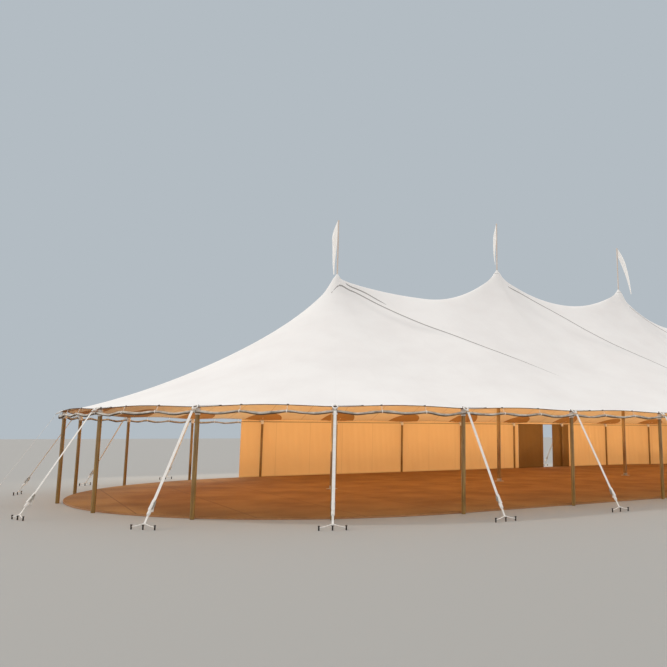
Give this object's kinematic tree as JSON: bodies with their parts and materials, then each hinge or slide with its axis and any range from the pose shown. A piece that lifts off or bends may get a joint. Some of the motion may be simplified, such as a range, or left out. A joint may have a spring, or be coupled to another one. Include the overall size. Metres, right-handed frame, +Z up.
{
  "type": "sailcloth pole marquee tent",
  "caption": "Large sailcloth pole marquee with peaked roof, half-round ends, guyed timber side poles, boarded floor, open front and a hanging back wall.",
  "frame": {"origin": "on the ground under the middle of the tent", "axes": "+X along the ridge, +Z up, the open front faces -Y"},
  "size_m": [37.75, 18.13, 9.8197],
  "materials": {
    "sailcloth": "matt white woven sailcloth",
    "timber": "varnished round timber with white straps and steel stakes",
    "matting": "ribbed coir matting on boards",
    "wall_cloth": "sunlit cream wall cloth",
    "door_cloth": "brown door cloth",
    "rolled_cloth": "rolled cream wall cloth",
    "flag_cloth": "light white flag cloth"
  },
  "bodies": {
    "root": {"roof_left_end": "sailcloth", "roof_bay_1": "sailcloth", "roof_bay_2": "sailcloth", "roof_bay_3": "sailcloth", "roof_right_end": "sailcloth", "side_pole_front_1": "timber", "side_pole_front_2": "timber", "side_pole_front_3": "timber", "side_pole_front_4": "timber", "side_pole_front_5": "timber", "side_pole_front_6": "timber", "side_pole_front_7": "timber", "side_pole_back_1": "timber", "side_pole_back_2": "timber", "side_pole_back_3": "timber", "side_pole_back_4": "timber", "side_pole_back_5": "timber", "side_pole_back_6": "timber", "side_pole_back_7": "timber", "side_pole_left_1": "timber", "side_pole_left_2": "timber", "side_pole_left_3": "timber", "side_pole_left_4": "timber", "side_pole_left_5": "timber", "side_pole_left_6": "timber", "side_pole_left_7": "timber", "side_pole_right_1": "timber", "side_pole_right_2": "timber", "side_pole_right_3": "timber", "side_pole_right_4": "timber", "side_pole_right_5": "timber", "side_pole_right_6": "timber", "side_pole_right_7": "timber", "centre_pole_1": "timber", "centre_pole_2": "timber", "centre_pole_3": "timber", "centre_pole_4": "timber", "pennant_1": "flag_cloth", "pennant_2": "flag_cloth", "pennant_3": "flag_cloth", "pennant_4": "flag_cloth", "floor_deck": "matting", "back_wall_left": "wall_cloth", "back_wall_right": "wall_cloth", "door_panel_left": "door_cloth", "door_panel_right": "door_cloth", "rolled_wall_left_end": "rolled_cloth", "rolled_wall_right_end": "rolled_cloth", "rolled_wall_front_left": "rolled_cloth", "rolled_wall_front_right": "rolled_cloth"}
  },
  "joints": []
}
